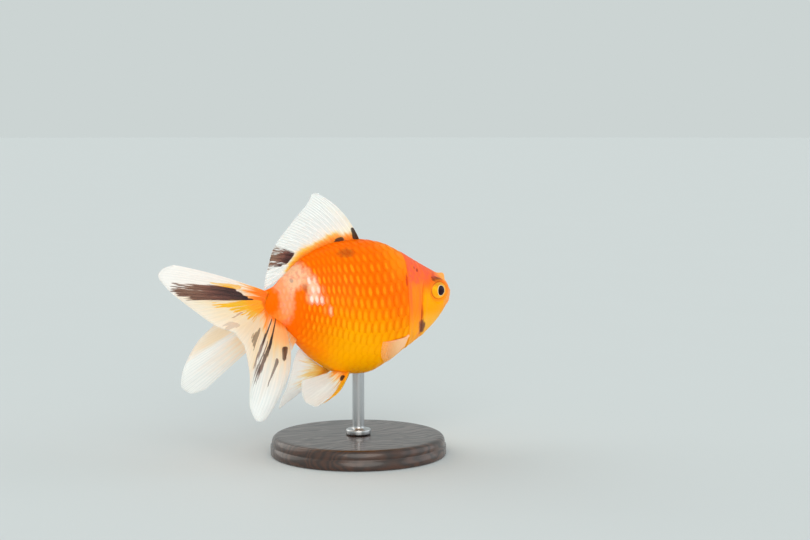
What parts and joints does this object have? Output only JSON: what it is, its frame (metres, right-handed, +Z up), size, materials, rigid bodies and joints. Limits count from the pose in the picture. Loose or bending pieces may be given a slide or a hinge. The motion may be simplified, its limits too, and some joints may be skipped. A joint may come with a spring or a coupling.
{
  "type": "goldfish model on a display stand",
  "caption": "Life-size fantail goldfish, orange with dark marks and pale twin-tail fins, held level by a rod on a round display stand.",
  "frame": {"origin": "centre of the flat underside of the stand's base, on the surface it stands on", "axes": "+Z up; +X the way the fish faces, along its length; +Y the fish's left side"},
  "size_m": [0.14, 0.074, 0.1102],
  "materials": {
    "body_skin": "painted and varnished scales: deep orange net with lighter yellow-orange centres, glossy",
    "eye": "glass eye with a golden iris and a black pupil",
    "fin": "pale translucent fin sheets with fine rays, satin",
    "stand_wood": "dark stained hardwood, satin lacquer",
    "stand_steel": "brushed steel rod"
  },
  "bodies": {
    "root": {"head": "body_skin", "lower_jaw": "body_skin", "gill_cover_left": "body_skin", "gill_cover_right": "body_skin", "trunk": "body_skin", "tail_peduncle": "body_skin", "eye_left": "eye", "eye_right": "eye", "dorsal_fin": "fin", "pectoral_fin_left": "fin", "pectoral_fin_right": "fin", "pelvic_fin_left": "fin", "pelvic_fin_right": "fin", "anal_fin_left": "fin", "anal_fin_right": "fin", "caudal_fin_left_upper": "fin", "caudal_fin_left_lower": "fin", "caudal_fin_right_upper": "fin", "caudal_fin_right_lower": "fin", "stand_base": "stand_wood", "stand_rod": "stand_steel"}
  },
  "joints": []
}
